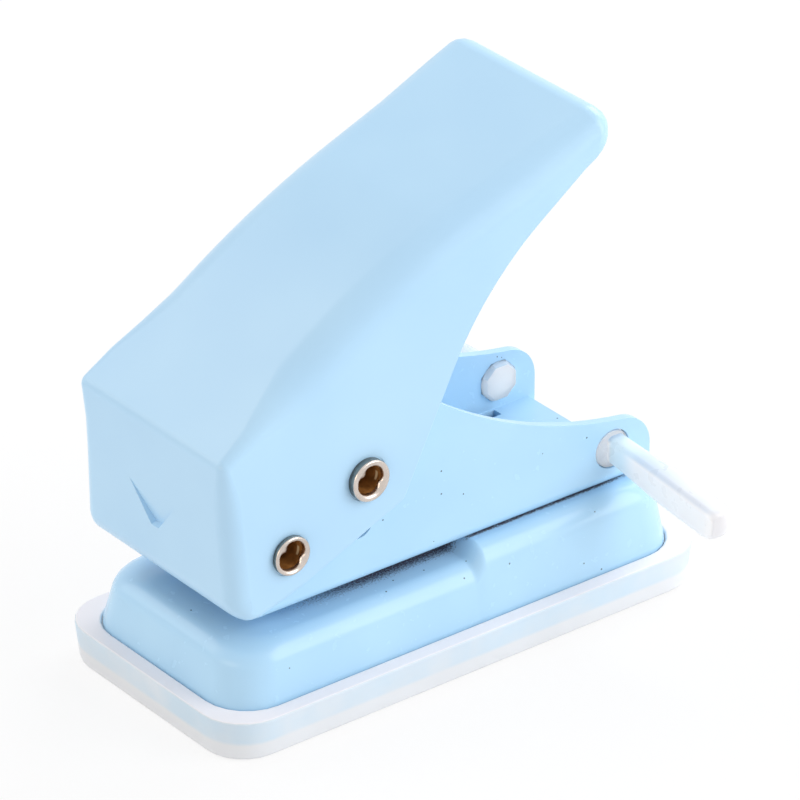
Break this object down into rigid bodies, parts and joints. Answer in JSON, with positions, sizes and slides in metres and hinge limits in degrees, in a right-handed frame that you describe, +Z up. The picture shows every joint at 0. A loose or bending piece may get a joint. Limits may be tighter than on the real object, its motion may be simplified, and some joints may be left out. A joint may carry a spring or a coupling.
{
  "type": "mini round hole punch",
  "caption": "Small desk punch for round holes: a light blue lever handle on a folded steel frame, a pressed base and a frosted pull-off chip tray.",
  "frame": {"origin": "centre of the tray's underside, on the table the punch stands on", "axes": "+X to the rear, where the handle's tip lifts; the paper goes in from -X; +Y across the punch; +Z up"},
  "size_m": [0.0628, 0.0542, 0.0574],
  "materials": {
    "handle_plastic": "satin moulded plastic, light blue",
    "painted_sheet": "glossy light blue paint on steel sheet",
    "frosted_plastic": "frosted, half clear",
    "nickel": "nickel plated",
    "steel": "plain ground steel",
    "spring_steel": "drawn spring wire and strip",
    "nylon": "natural nylon"
  },
  "bodies": {
    "stand": {"base": "painted_sheet", "die_plate": "steel", "frame": "painted_sheet", "frame_rivet_front": "steel", "frame_rivet_rear": "steel", "side_arm_left": "frosted_plastic", "side_arm_right": "frosted_plastic", "return_spring": "spring_steel"},
    "lever": {"handle": "handle_plastic", "pivot_rivet": "nickel", "drive_rivet": "nickel", "drive_sleeve": "steel", "pivot_washer_left": "nylon", "pivot_washer_right": "nylon", "drive_washer_left": "nylon", "drive_washer_right": "nylon"},
    "punch": {"punch_pin": "steel", "punch_clip": "spring_steel", "spring_seat": "steel"},
    "tray": {"chip_tray": "frosted_plastic"}
  },
  "joints": [
    {"name": "handle_press", "type": "hinge", "parent": "stand", "child": "lever", "pos_m": [-0.0223, 0, 0.0211], "axis": [0, 1, 0], "range_deg": [0, 30], "stiffness_Nm_per_rad": 0.067, "springref_deg": -18.91},
    {"name": "punch_slide", "type": "slide", "parent": "stand", "child": "punch", "axis": [0, 0, -1], "range_m": [0, 0.00556], "deforming": ["return_spring"]},
    {"name": "tray_release", "type": "slide", "parent": "tray", "child": "stand", "axis": [0, 0, 1], "range_m": [0, 0.012]}
  ],
  "couplings": [
    {"joint": "punch_slide", "follows": "handle_press", "m_per_rad": 0.0106}
  ]
}
